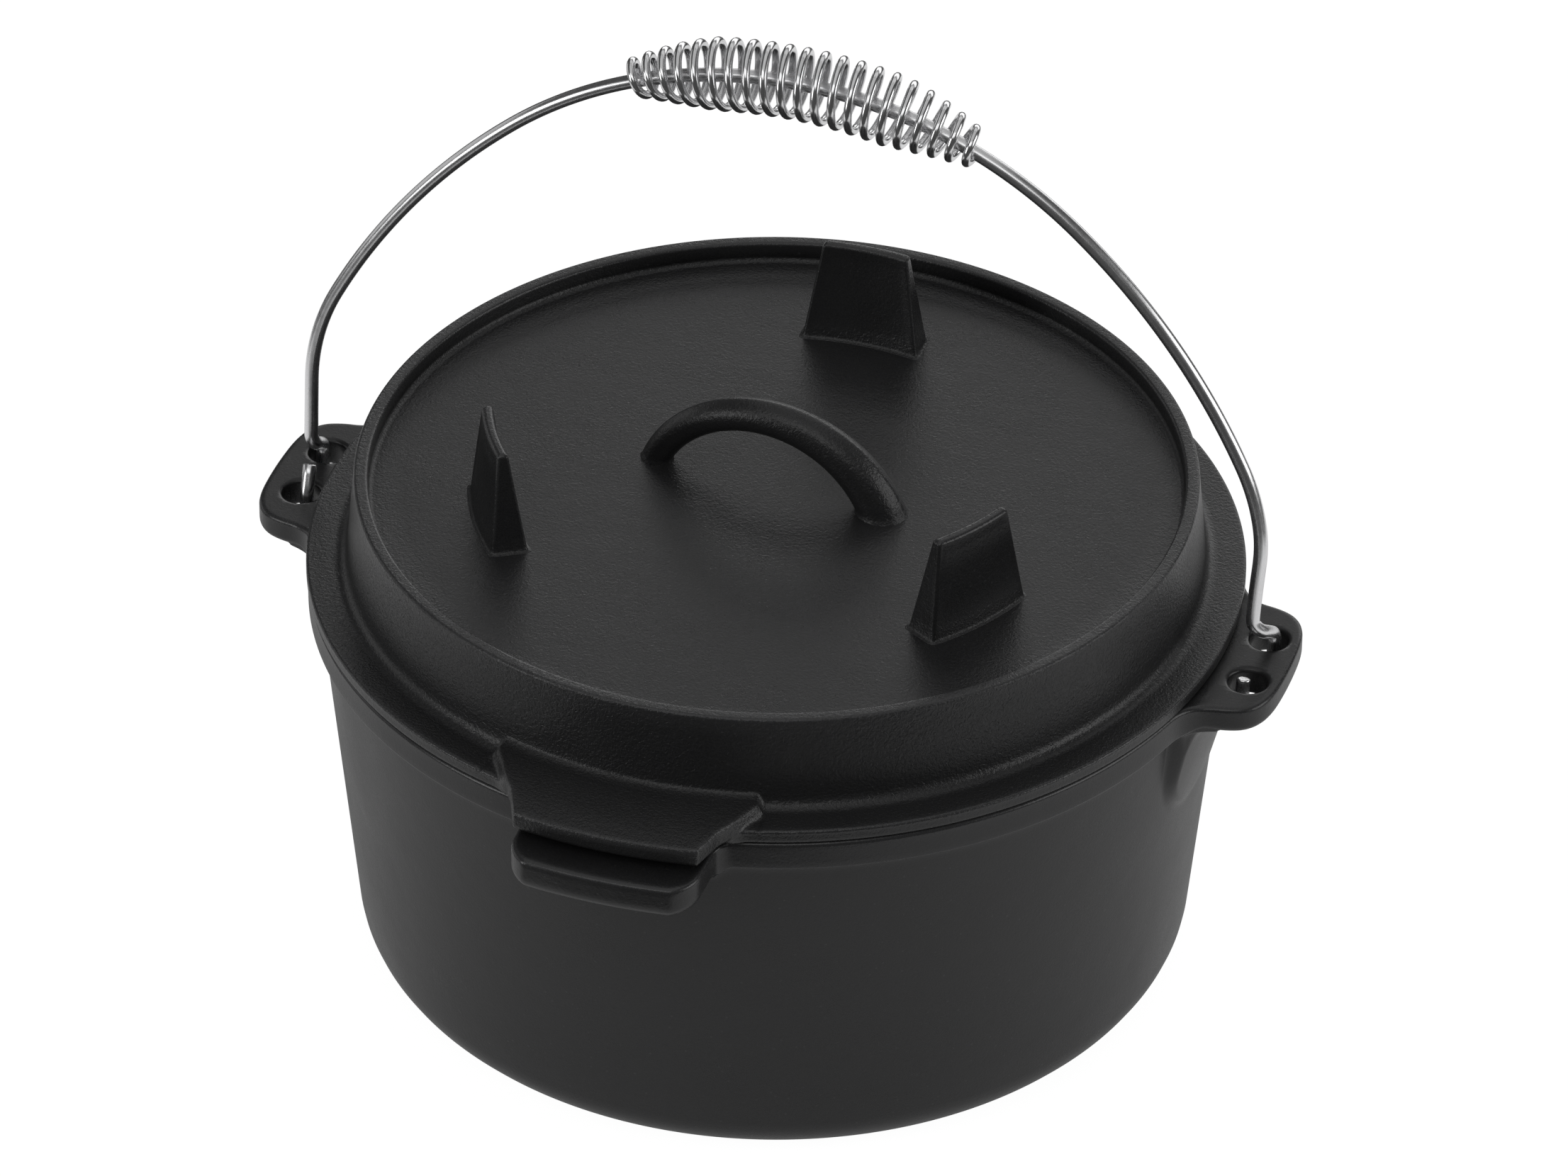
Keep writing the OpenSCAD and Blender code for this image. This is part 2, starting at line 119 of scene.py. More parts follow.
def chain(corners, run):
    """Points [r, z] along corners (r, z, radius): corners become arcs, straights are cut in steps of about run."""
    points = np.array([c[:2] for c in corners], float)
    ends = []
    for i, (_, _, radius) in enumerate(corners):
        if radius == 0 or i in (0, len(corners) - 1):
            ends.append(points[i:i + 1])
            continue
        u = (points[i - 1] - points[i]) / np.linalg.norm(points[i - 1] - points[i])
        w = (points[i + 1] - points[i]) / np.linalg.norm(points[i + 1] - points[i])
        half = np.arccos(np.clip(u @ w, -1, 1)) / 2
        middle = points[i] + (u + w) / np.linalg.norm(u + w) * radius / np.sin(half)
        start = points[i] + u * radius / np.tan(half) - middle
        stop = points[i] + w * radius / np.tan(half) - middle
        sweep = np.pi - 2 * half
        t = np.linspace(0, 1, int(np.ceil(np.degrees(sweep) / 11)) + 1)[:, None]
        ends.append(middle + (start * np.sin((1 - t) * sweep) + stop * np.sin(t * sweep)) / np.sin(sweep))
    made = [ends[0]]
    for before, after in zip(ends, ends[1:]):
        a, b = before[-1], after[0]
        steps = max(1, int(np.ceil(np.linalg.norm(b - a) / run)))
        made.append(a + (b - a) * np.linspace(0, 1, steps + 1)[1:-1, None])
        made.append(after)
    return np.concatenate(made)


def turned(profile, angle):
    """Rows of radius and rows of height of a profile [r, z] that is the same all the way round."""
    return profile[:, :1] + 0 * angle, profile[:, 1:] + 0 * angle


def round_grid(r, z, angle):
    """Points (r cos angle, r sin angle, z) of rows of radius and height."""
    return np.stack([r * np.cos(angle), r * np.sin(angle), z], -1)


def skin(grid, start, end):
    """Points and faces over a grid of rows by columns that closes round its columns, with one point at each end."""
    rows, cols = grid.shape[:2]
    at = np.arange(rows * cols).reshape(rows, cols)
    beside = np.roll(at, -1, axis=1)
    quads = np.stack([at[:-1], beside[:-1], beside[1:], at[1:]], -1).reshape(-1, 4)
    first = np.stack([np.full(cols, rows * cols), beside[0], at[0]], -1)
    last = np.stack([at[-1], beside[-1], np.full(cols, rows * cols + 1)], -1)
    points = np.concatenate([grid.reshape(-1, 3), [start, end]])
    return points, quads.tolist() + first.tolist() + last.tolist()


def spread(values, start=0, end=0):
    """Values of a grid's points in the order of its skin, followed by those of the skin's two end points."""
    return np.append(values.ravel(), [start, end])


def piece(name, points, faces, material, **values):
    """Makes a smooth mesh object from points in millimetres; values are stored as attributes of its points."""
    mesh = bpy.data.meshes.new(name)
    mesh.from_pydata((np.asarray(points) * MM).tolist(), [], faces)
    mesh.polygons.foreach_set("use_smooth", np.ones(len(mesh.polygons), bool))
    for key, value in values.items():
        kind, slot = ("FLOAT_VECTOR", "vector") if np.ndim(value) == 2 else ("FLOAT", "value")
        mesh.attributes.new(key, kind, "POINT").data.foreach_set(slot, np.ravel(value))
    mesh.materials.append(material)
    made = bpy.data.objects.new(name, mesh)
    bpy.context.scene.collection.objects.link(made)
    return made


class Flow:
    """A shader socket that can stand in sums: +, - and * make Math nodes, and node() makes any other node."""

    def __init__(self, tree, socket=None):
        self.tree, self.socket = tree, socket

    def node(self, kind, settings=None, sockets=None, out=0):
        """Adds a node of a kind, with its settings set first and its sockets set or linked, and gives one output."""
        made = self.tree.nodes.new(kind)
        for key, value in (settings or {}).items():
            setattr(made, key, value)
        for key, value in (sockets or {}).items():
            if isinstance(value, Flow):
                self.tree.links.new(value.socket, made.inputs[key])
            else:
                made.inputs[key].default_value = value
        return Flow(self.tree, made.outputs[out])

    def into(self, node, key):
        """Links this value to a socket of a node that is there already."""
        self.tree.links.new(self.socket, node.inputs[key])

    def __add__(self, other):
        return self.node("ShaderNodeMath", {"operation": "ADD"}, {0: self, 1: other})

    def __sub__(self, other):
        return self.node("ShaderNodeMath", {"operation": "SUBTRACT"}, {0: self, 1: other})

    def __rsub__(self, other):
        return self.node("ShaderNodeMath", {"operation": "SUBTRACT"}, {0: other, 1: self})

    def __mul__(self, other):
        return self.node("ShaderNodeMath", {"operation": "MULTIPLY"}, {0: self, 1: other})

    __radd__, __rmul__ = __add__, __mul__


def iron(name, tone, grain_deep):
    """Seasoned cast iron: fine grain, coarser where a point's 'sand' is 1, lighter where its 'edge' is 1: rubbed wear
    and a painted highlight.
    """
    made = bpy.data.materials.new(name)
    made.use_nodes = True
    shader = made.node_tree.nodes["Principled BSDF"]
    flow = Flow(made.node_tree)
    where = flow.node("ShaderNodeTexCoord", out="Object")
    sand = flow.node("ShaderNodeAttribute", {"attribute_name": "sand"}, out="Fac")
    edge = flow.node("ShaderNodeAttribute", {"attribute_name": "edge"}, out="Fac")
    grain = flow.node("ShaderNodeTexNoise", None, {"Vector": where, "Scale": 2100, "Detail": 2, "Roughness": 0.6})
    peel = flow.node("ShaderNodeTexNoise", None, {"Vector": where, "Scale": 950, "Detail": 2, "Distortion": 0.6})
    cloud = flow.node("ShaderNodeTexNoise", None, {"Vector": where, "Scale": 34, "Detail": 4, "Roughness": 0.6})
    swell = flow.node("ShaderNodeTexNoise", None, {"Vector": where, "Scale": 90, "Detail": 1})
    pit = flow.node("ShaderNodeTexVoronoi", None, {"Vector": where, "Scale": 230})
    hollow = flow.node("ShaderNodeMapRange", {"interpolation_type": "SMOOTHSTEP"},
                       {"Value": pit, "From Min": 0.04, "From Max": 0.13, "To Min": 1.0, "To Max": 0.0})
    rugged = sand * (1.3 * grain_deep) + grain_deep
    height = (peel + grain * 0.35) * rugged + swell * 0.1 + hollow * 0.02
    bump = flow.node("ShaderNodeBump", None, {"Strength": 1.0, "Distance": MM, "Height": height}, out="Normal")
    bump.into(shader, "Normal")
    # The edge term lightens rubbed edges and is also a painted highlight along them; below 0 it is painted shade.
    light = (cloud - 0.5) * (0.4 * tone) + (grain - 0.5) * (0.9 * tone) + edge * tone + hollow * (0.8 * tone) + tone
    colour = flow.node("ShaderNodeCombineColor", None, {"Red": light, "Green": light, "Blue": light * 1.03})
    colour.into(shader, "Base Color")
    rough = (cloud - 0.5) * 0.16 + (grain - 0.5) * 0.2 + sand * 0.05 - edge * 0.06 + 0.31
    rough.into(shader, "Roughness")
    return made


def pot_plan(r, angle):
    """Signed distance to the rim's outline: the least of the disc, the two ears and the tab, filleted together."""
    x, y = r * np.cos(angle), r * np.sin(angle)
    ear = lug(np.abs(x), y, lug_root, ear_reach + ear_bow, ear_w, ear_end_w, ear_corner)
    ear = -soften(-ear, ear_reach - r, ear_bow)
    tab = lug(-y, x, lug_root, pot_tab_reach, pot_tab_w, pot_tab_w, pot_tab_corner)
    tab = np.maximum(tab, r - pot_tab_reach)
    return soften(soften(r - rim_r, ear, ear_fillet), tab, pot_tab_fillet)


def wall(z):
    """Outer radius of the drafted wall at a height: wall_at_band - (band_z - z) draft."""
    return wall_at_band - (band_z - z) * draft


angle = columns(pot_plan, *pot_span, column_count)
rim_out = radius_at(pot_plan, *pot_span, angle)
lugged = ease(0.4, 6, rim_out - rim_r)
from_front = np.degrees(np.abs((angle + np.pi / 2 + np.pi) % (2 * np.pi) - np.pi))
at_tab = 1 - ease(11.5, 13.5, from_front)
across = np.sin(angle) * wall_at_band
by_ear = np.cos(angle) ** 2 > 0.9


def gusseted_wall(z):
    """Wall radius with a gusset under each ear: a wedge as wide as the ear, 0.8 mm at its round foot to 7.2 mm."""
    inside = -lug(-z, across, -pot_h, -gusset_foot, gusset_w, gusset_foot_w, gusset_corner)
    proud = gusset_low + gusset_gain * np.clip((z - gusset_foot) / (ear_under - gusset_foot), 0, 1)
    proud = proud * (1 - 0.25 * (across / gusset_half) ** 2)
    return wall(z) + np.minimum(proud * by_ear * ease(-1.5, 3.0, inside), 0.6 * (rim_out - wall(z)))


base = chain([(0, 0, 0), (wall(0), 0, base_round), (wall(gusset_from), gusset_from, 0)], 14)[1:]
rows = [turned(base, angle)]
under = ear_under - (ear_under - tab_under) * at_tab
fillet = 5.0 + lugged
z = gusset_from + (under - fillet - gusset_from) * np.linspace(0, 1, 30)[1:, None]
rows.append((gusseted_wall(z), z))
corner = gusseted_wall(under)
bend_out = np.minimum(6, 0.62 * (rim_out - corner))
t = np.linspace(0, 1, 9)[1:, None]
bend_r, bend_z = rows[-1][0][-1], rows[-1][1][-1]
rows.append(((1 - t) ** 2 * bend_r + 2 * t * (1 - t) * corner + t ** 2 * (corner + bend_out),
             (1 - t) ** 2 * bend_z + 2 * t * (1 - t) * under + t ** 2 * under))
low_round, top_round = 1.2 + lugged * (2.3 + at_tab), 1.5
begin = rows[-1][0][-1]
r = begin + (rim_out - begin) * (1 - (1 - np.linspace(0, 1, 13)[1:, None]) ** 2)
rows.append((r, under + edge_drop(-pot_plan(r, angle), low_round)))
level = pot_h - (ear_sunk * lugged + pot_tab_sunk * at_tab)
side = np.linspace(0, 1, 5)[1:-1, None]
rows.append((rim_out + 0 * side, (under + low_round) * (1 - side) + (level - top_round) * side))
r = rim_out + (rim_in - rim_out) * np.linspace(0, 1, 14)[:, None] ** 2
rows.append((r, pot_h - (pot_h - level) * ease(147, rim_r, r) - edge_drop(-pot_plan(r, angle), top_round)))
cavity = chain([(rim_in, pot_h, 0), (wall(pot_h) - wall_t, pot_h, 1.5), (wall(floor_t) - wall_t, floor_t, 10),
                (0, floor_t, 0)], 12)[1:-1]
rows.append(turned(cavity, angle))
r, z = (np.concatenate(part) for part in zip(*rows))
points, faces = skin(round_grid(r, z, angle), (0, 0, 0), (0, 0, floor_t))
inward = np.abs(pot_plan(r, angle))
# The rim's and lugs' top and lower edges are lightened: rubbed wear, and a painted highlight along them.
wear_and_highlight = bell(np.hypot(inward, z - level), 1.6) + 0.6 * bell(np.hypot(inward, z - under), 1.8)
sandy = 0.35 * lugged * ease(rim_r, rim_r + 4, r) + 0.5 * bell(z - under, 5) * (r < rim_r)
pot = piece("pot_casting", points, faces, iron("pot_iron", 0.02, 0.045), edge=spread(wear_and_highlight), sand=spread(sandy))

# The ears' four holes are cored in the casting, and the hooks of the bail run through them.
# Each is cut with a spool that flares to the ear's two faces, so that the iron keeps rounded lips.
# The pot is whole after them, so it is given to its body here.
hole_x, hole_y, hole_r, hole_shift, hole_lip = 159.0, 12.0, 6.25, 1.4, 1.3
spool_low, spool_high = -3, 12.5
ear_t = pot_h - ear_sunk - ear_under
depth = np.linspace(spool_low, spool_high, 40)[:, None]
lip = hole_r + edge_drop(np.clip(np.minimum(depth, ear_t - depth), 0, 9), hole_lip)
turn = np.linspace(0, 2 * np.pi, 48, endpoint=False)
for x, y in [(hole_x, hole_y), (hole_x, -hole_y), (-hole_x, hole_y), (-hole_x, -hole_y)]:
    x = x + hole_shift
    spool = np.stack([x + lip * np.cos(turn), y + lip * np.sin(turn), ear_under + depth + 0 * turn], -1)
    ends = (x, y, ear_under + spool_low), (x, y, ear_under + spool_high)
    cutter = piece("cutter", *skin(spool, *ends), pot.data.materials[0])
    cut = pot.modifiers.new("hole", "BOOLEAN")
    cut.operation, cut.solver, cut.object = "DIFFERENCE", "MANIFOLD", cutter
    whole = bpy.data.meshes.new_from_object(pot.evaluated_get(bpy.context.evaluated_depsgraph_get()))
    pot.modifiers.clear()
    pot.data = whole
    bpy.data.objects.remove(cutter)
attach(pot, "pot")
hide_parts("pot")

# The lid: a second iron casting with a flat coal tray inside a raised rim, a sloping skirt and a flange.
# Its front tab rises from the flange, so the flange's rows are lifted and led outwards there.
# Below it are the ring that centres it in the pot and the hollow under the plate.
lid_z, flange_z, lid_top, plate_z, plate_t = pot_h, pot_h + 5, pot_h + 36, pot_h + 29, 6
flange_r, skirt_r, lid_rim_r, land = 149.94, 137.2, 134.2, 4.5
tray_r = lid_rim_r - land
lid_tab_reach, lid_tab_w, lid_tab_up, lid_tab_under, lid_tab_corner = 167.0, 58, 4, 2.5, 3
lid_tab_flare, lid_tab_skew, skew_from = np.radians(19), 0.09, 165
tab_root_reach, tab_root_w, tab_root_end_w = 149, 102, 69
flange_top_round, flange_low_round = 0.9, 1.8
slope = (skirt_r - lid_rim_r) / (lid_top - flange_z)
lid_span = (flange_r - 2, 175)


def tab_plan(r, angle):
    """Signed distance to the lid's tab alone: slanted sides that flare to the skirt, a little skewed."""
    x, y = r * np.cos(angle), r * np.sin(angle)
    skewed = x + lid_tab_skew * (skew_from + y)
    flared_w = lid_tab_w + 2 * (lid_tab_reach - lug_root) * np.tan(lid_tab_flare)
    sides = lug(-y, skewed, lug_root, lid_tab_reach, flared_w, lid_tab_w, lid_tab_corner)
    root = lug(-y, skewed, lug_root, tab_root_reach, tab_root_w, tab_root_end_w, lid_tab_corner)
    return np.maximum(soften(sides, root, 5), r - lid_tab_reach)


def lid_plan(r, angle):
    """Signed distance to the flange's outline: the least of the disc and the tab, filleted together."""
    return soften(r - flange_r, tab_plan(r, angle), 4)


def lifted(r, angle):
    """Share of the tab's height over the flange, 1 on the tab and 0 off it, with a fillet's S curve between."""
    return ease(-1.6, 0.6, -tab_plan(r, angle))


def tab_below(r):
    """Height of the underside over the pot's rim: 0 under the flange and raised under the tab."""
    return lid_tab_under * ease(150.3, 152.0, r)


angle = columns(lid_plan, *lid_span, column_count)
out = radius_at(lid_plan, *lid_span, angle)
break_z, break_r = lid_top - 12, lid_rim_r + 12 * slope
tray = chain([(0, plate_z, 0), (tray_r, plate_z, 1.8), (tray_r, lid_top, 1.2), (lid_rim_r, lid_top, 1.2),
              (break_r, break_z, 0)], 9)[1:]
rows = [turned(tray, angle)]
foot_r = skirt_r + 4.4
foot_up = lid_tab_up * lifted(foot_r, angle)
foot = chain([(break_r, break_z, 0), (skirt_r, flange_z, 4.2), (foot_r, flange_z, 0)], 2.2)[1:]
share = np.clip((break_z - foot[:, 1:]) / (break_z - flange_z), 0, 1) ** 3
rows.append((foot[:, :1] - slope * foot_up * share, foot[:, 1:] + foot_up * share))
begin = rows[-1][0][-1]
r = begin + (out - begin) * (1 - (1 - np.linspace(0, 1, 15)[1:, None]) ** 2)
up = foot_up + lid_tab_up * (lifted(r, angle) - lifted(begin, angle))
rows.append((r, flange_z + up - edge_drop(-lid_plan(r, angle), flange_top_round)))
edge_z = flange_z + up[-1]
side = np.linspace(0, 1, 5)[1:-1, None]
rows.append((out + 0 * side, (edge_z - flange_top_round) * (1 - side)
             + (lid_z + tab_below(out) + flange_low_round) * side))
seat_r, ring_out, ring_in, ring_deep = 143.0, 140.8, 137, 4
r = out + (seat_r - out) * np.linspace(0, 1, 12)[:, None] ** 2
rows.append((r, lid_z + tab_below(r) + edge_drop(-lid_plan(r, angle), flange_low_round)))
ring = chain([(seat_r, lid_z, 0), (ring_out, lid_z, 0), (ring_out, lid_z - ring_deep, 1.5),
              (ring_in, lid_z - ring_deep, 1.5), (ring_in, lid_z, 1.0), (131.5, lid_z, 2.0),
              (lid_rim_r - 5.5, plate_z - plate_t, 8), (0, plate_z - plate_t, 0)], 9)[1:-1]
rows.append(turned(ring, angle))
r, z = (np.concatenate(part) for part in zip(*rows))
points, faces = skin(round_grid(r, z, angle)[::-1], (0, 0, plate_z - plate_t), (0, 0, plate_z))
inward = np.abs(lid_plan(r, angle))
# The flange's top edge and the rim's two edges are lightened: rubbed wear, and a painted highlight along them.
top_edge = np.hypot(inward, z - edge_z) + 40 * (r < 147)
rim_edge = np.minimum(np.hypot(r - lid_rim_r, z - lid_top), np.hypot(r - tray_r, z - lid_top))
wear_and_highlight = bell(top_edge, 1.5) + bell(rim_edge, 1.3)
# The rim's inner wall gets painted shade: its edge value is pulled below 0 there, which darkens it, and it gets less
# sand.
rim_wall_painted_shade = (r < tray_r + 0.5) * ease(plate_z + 0.5, plate_z + 2, z) * ease(0.6, 2, lid_top - z)
sandy = ease(lid_rim_r - 3, lid_rim_r, r) * (0.5 + 0.5 * ease(flange_z + 0.5, flange_z + 4, z)) * (z > flange_z - 1)
sandy = np.maximum(sandy, bell(np.hypot(r - tray_r, z - plate_z), 5) * (1 - rim_wall_painted_shade))
sandy = np.maximum(sandy, 0.8 * ease(151, 153, out) * (inward < 0.3))
lid_iron = iron("lid_iron", 0.019, 0.13)
lid = piece("lid_casting", points, faces, lid_iron,
            edge=spread((wear_and_highlight - 0.6 * rim_wall_painted_shade)[::-1]), sand=spread(sandy[::-1]))
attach(lid, "lid")
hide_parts("lid")

# The three griddle legs are cast with the lid in the same iron: flat tapered blades with a narrow top land.
# Each is a loft of rounded rectangles, bent to the ring on which the legs stand.
# It has a sandy fillet at its foot and softly dished faces.
leg_ring_r, leg_h, leg_round, leg_fillet, leg_sunk = 91.5, 34.0, 1.3, 1.1, 0.4
leg_half_w, leg_draw_w, leg_half_t, leg_draw_t, leg_dish = 19.5, 5.2, 5.7, 4.05, 0.35
sweep = np.radians(np.linspace(0, 90, 7))
run = np.linspace(-1, 1, 27)[1:-1]
step = np.linspace(1, -1, 5)[1:-1]
one, bit = np.ones(7), np.ones(3)
ring_u = np.concatenate([run ** 0, one, step, -one, -run ** 0, -one, -step, one])
ring_v = np.concatenate([run, one, bit, one, -run, -one, -bit, -one])
turn = np.concatenate([0 * run, sweep, bit * np.pi / 2, sweep + np.pi / 2, 0 * run + np.pi,
                       sweep + np.pi, bit * 1.5 * np.pi, sweep + 1.5 * np.pi])
top = leg_h - leg_round + leg_round * np.sin(np.radians(np.linspace(0, 90, 9)))
foot = leg_fillet * np.linspace(0, 1, 8)[1:] ** 1.6
blade = np.linspace(leg_fillet, leg_h - leg_round, 17)[1:-1]
h = np.concatenate([[-leg_sunk, 0], foot, blade, top])[:, None]
drawn = np.clip(h, 0, None) / leg_h
half_w = leg_half_w - leg_draw_w * drawn - edge_drop(leg_h - h, leg_round)
half_t = leg_half_t - leg_draw_t * drawn - edge_drop(leg_h - h, leg_round)
flare = edge_drop(np.clip(h, 0, leg_fillet), leg_fillet)
soft = np.minimum(1.0, half_t * 0.8)
u = ring_u * (half_t - soft) + (soft + flare) * np.cos(turn)
v = ring_v * (half_w - soft) + (soft + flare) * np.sin(turn)
dished = leg_dish * ease(1.0, 2.8, half_w - np.abs(v)) * ease(1.5, 3.5, leg_h - h) * ease(3, 7, h)
u = u - dished * np.round(np.cos(turn))
# The blade's corners and top are lightened: rubbed wear, and a painted highlight along them.
arris = bell(np.sin(2 * turn) - 1, 0.5) * ease(3, 6, h)
arris = np.maximum(arris, bell(leg_h - h, 0.9) + 0 * u)
gritty = 1 - ease(2.0, 5.0, h) + 0 * u
from_axis = np.sqrt((leg_ring_r + u) ** 2 - v ** 2)
for number, bearing in enumerate(np.radians([90, 210, 330]), 1):
    c, s = np.cos(bearing), np.sin(bearing)
    grid = np.stack([from_axis * c - v * s, from_axis * s + v * c, plate_z + h + 0 * u], -1)
    middle = leg_ring_r * c, leg_ring_r * s
    points, faces = skin(grid, (*middle, plate_z - leg_sunk), (*middle, plate_z + leg_h))
    leg = piece(f"lid_leg_{number}", points, faces, lid_iron,
                edge=spread(0.7 * arris, 0, 0.5), sand=spread(gritty))
    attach(leg, "lid")

# The loop handle is cast on the lid's middle in the same iron: a round bar bent to an arc.
# It is thicker towards its right foot, and both feet flare into the plate.
# A faint ridge along its outside is left from the mould's parting.
handle_span, handle_rise, handle_x, handle_y, handle_turn = 77.5, 25.5, -3.0, 1.0, np.radians(-4)
handle_thin, handle_gain, handle_fillet, handle_ridge, handle_rows = 9, 6.5, 0.8, 0.3, 97
arc_r = ((handle_span / 2) ** 2 + handle_rise ** 2) / (2 * handle_rise)
bow = np.radians(np.linspace(-73, 73, handle_rows))[:, None]
round_bar = np.linspace(0, 2 * np.pi, 48, endpoint=False)
thick = (handle_thin + handle_gain * np.linspace(0, 1, handle_rows)[:, None] ** 1.4) / 2
thick = thick + handle_ridge * bell(np.sin(round_bar / 2), 0.07)
out_by = arc_r + thick * np.cos(round_bar)
x, y = out_by * np.sin(bow), thick * np.sin(round_bar)
z = handle_rise - arc_r + out_by * np.cos(bow)
flare = edge_drop(np.clip(z, 0, handle_fillet), handle_fillet)
foot_x = np.sign(bow) * handle_span / 2
reach = np.hypot(x - foot_x, y) + 1e-6
x, y = x + flare * (x - foot_x) / reach, y + flare * y / reach
c, s = np.cos(handle_turn), np.sin(handle_turn)
grid = np.stack([handle_x + x * c - y * s, handle_y + x * s + y * c, plate_z + z], -1)
points, faces = skin(grid, grid[0].mean(0), grid[-1].mean(0))
# The outside of the bar is lightened: rubbed wear, and a painted highlight along it.
rub_and_highlight = 0.5 * bell(np.sin(round_bar / 2), 0.12) + 0 * z
handle = piece("lid_handle", points, faces, lid_iron, edge=spread(rub_and_highlight), sand=spread(1 - 0.6 * ease(1.5, 5, z)))
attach(handle, "lid")

# The bail: one drawn steel wire, bent to an arch, jogged into the rear holes and hooked up through the front ones.
# It hangs loosely under the webs between the ears' holes and leans a little to the back.
# Its right leg leans in at the foot, and its ends are sawn off.
swing_z, lean_back = pot_h - 5.25, np.radians(5)
wire_r, hook_r, jog_r, jog_top, hook_yaw = 2.25, 12.0, 6.0, 18.356, np.radians(8)
jog_bend, jog_run, hook_down, hook_up = 60, 6.928, 4.5, 4.75
foot_z, crown_r, crown_z = 38.513, 146.084, 31.716
right_foot_in, lean_from = 1.4, 52


def follow(at, heading, runs):
    """Points along runs (length, bend radius, turn) in a plane; heading is from upright, turns to +x are positive."""
    at, heading, made = np.array(at, float), np.radians(heading), [np.array([at], float)]
    for length, radius, turn in runs:
        if radius == 0:
            t = np.linspace(0, length, max(2, int(length / 2.5)) + 1)[1:, None]
            made.append(at + t * [np.sin(heading), np.cos(heading)])
        else:
            turn, bent = np.radians(turn), np.sign(turn) * radius
            middle = at + bent * np.array([np.cos(heading), -np.sin(heading)])
            t = heading + turn * np.linspace(0, 1, int(np.degrees(abs(turn)) * max(radius, 20) / 100) + 8)[1:]
            made.append(middle + bent * np.stack([-np.cos(t), np.sin(t)], -1))
            heading = heading + turn
        at = made[-1][-1]
    return np.concatenate(made)


def hook(side, curl, stub):
    """The hook at one side, turned in to the pot: the jog back, down the rear hole, under the web and up the front."""
    up = (hook_up + stub - hook_r * np.sin(np.radians(curl))) / np.cos(np.radians(curl))
    jog = [(0, jog_r, -jog_bend), (jog_run, 0, 0), (0, jog_r, jog_bend)]
    flat = follow((0, jog_top), 180, jog + [(hook_down, 0, 0), (0, hook_r, 180 + curl), (up, 0, 0)])
    leg_in = -right_foot_in * (side > 0)
    x = side * (hole_x + flat[:, 0] * np.sin(hook_yaw))
    x = x + hole_shift + (leg_in - hole_shift) * ease(jog_top - 7, jog_top, flat[:, 1])
    return np.stack([x, flat[:, 0] * np.cos(hook_yaw), flat[:, 1]], -1)


def tube(middle, across, sides, radius):
    """Rings about the middle line, from a side direction at each point, with the ends cut square and chamfered."""
    ahead = np.gradient(middle, axis=0)
    ahead /= np.linalg.norm(ahead, axis=1)[:, None]
    across = across - ahead * (across * ahead).sum(1)[:, None]
    across /= np.linalg.norm(across, axis=1)[:, None]
    turn = np.linspace(0, 2 * np.pi, sides, endpoint=False)[:, None]
    ring = np.cos(turn) * across[:, None] + np.sin(turn) * np.cross(ahead, across)[:, None]
    body = middle[:, None] + radius * ring
    first = [middle[:1, None] + radius * part * ring[:1] for part in (0.62, 0.84)]
    last = [middle[-1:, None] + radius * part * ring[-1:] for part in (0.84, 0.62)]
    chamfer = 0.35
    body[0], body[-1] = body[0] + chamfer * ahead[0], body[-1] - chamfer * ahead[-1]
    length = np.concatenate([[0], np.cumsum(np.linalg.norm(np.diff(middle, axis=0), axis=1))])
    drawn = np.stack([length[:, None] + 0 * turn[:, 0], np.cos(turn[:, 0]) + 0 * length[:, None],
                      np.sin(turn[:, 0]) + 0 * length[:, None]], -1)
    drawn = np.concatenate([drawn[:1], drawn[:1], drawn, drawn[-1:], drawn[-1:]])
    points, faces = skin(np.concatenate([*first, body, *last]), middle[0], middle[-1])
    return points, faces, np.concatenate([drawn.reshape(-1, 3), drawn[0, :1], drawn[-1, :1]])


def stand(points):
    """Leans points of the bail's plane to the back and lifts them to the line on which it swings."""
    x, y, z = np.moveaxis(points, -1, 0)
    c, s = np.cos(lean_back), np.sin(lean_back)
    return np.stack([x, y * c + z * s, z * c - y * s + swing_z], -1)


def steel(name, tone, rough):
    """Bright drawn wire: metal with faint lengthwise lines from the die, fine scuffs and a little dullness."""
    made = bpy.data.materials.new(name)
    made.use_nodes = True
    shader = made.node_tree.nodes["Principled BSDF"]
    shader.inputs["Metallic"].default_value = 1.0
    flow = Flow(made.node_tree)
    drawn = flow.node("ShaderNodeAttribute", {"attribute_name": "drawn"}, out="Vector")
    along = flow.node("ShaderNodeVectorMath", {"operation": "MULTIPLY"}, {0: drawn, 1: (0.004, 3.4, 3.4)})
    line = flow.node("ShaderNodeTexNoise", None, {"Vector": along, "Scale": 1.2, "Detail": 1, "Roughness": 0.6})
    where = flow.node("ShaderNodeTexCoord", out="Object")
    scuff = flow.node("ShaderNodeTexNoise", None, {"Vector": where, "Scale": 420, "Detail": 3})
    light = (line - 0.5) * (0.7 * tone) + (scuff - 0.5) * (0.15 * tone) + tone
    colour = flow.node("ShaderNodeCombineColor", None, {"Red": light, "Green": light, "Blue": light * 1.01})
    colour.into(shader, "Base Color")
    dull = (line - 0.5) * 0.2 + (scuff - 0.5) * 0.1 + rough
    dull.into(shader, "Roughness")
    height = line * 0.02 + scuff * 0.002
    bump = flow.node("ShaderNodeBump", None, {"Strength": 1.0, "Distance": MM, "Height": height}, out="Normal")
    bump.into(shader, "Normal")
    return made


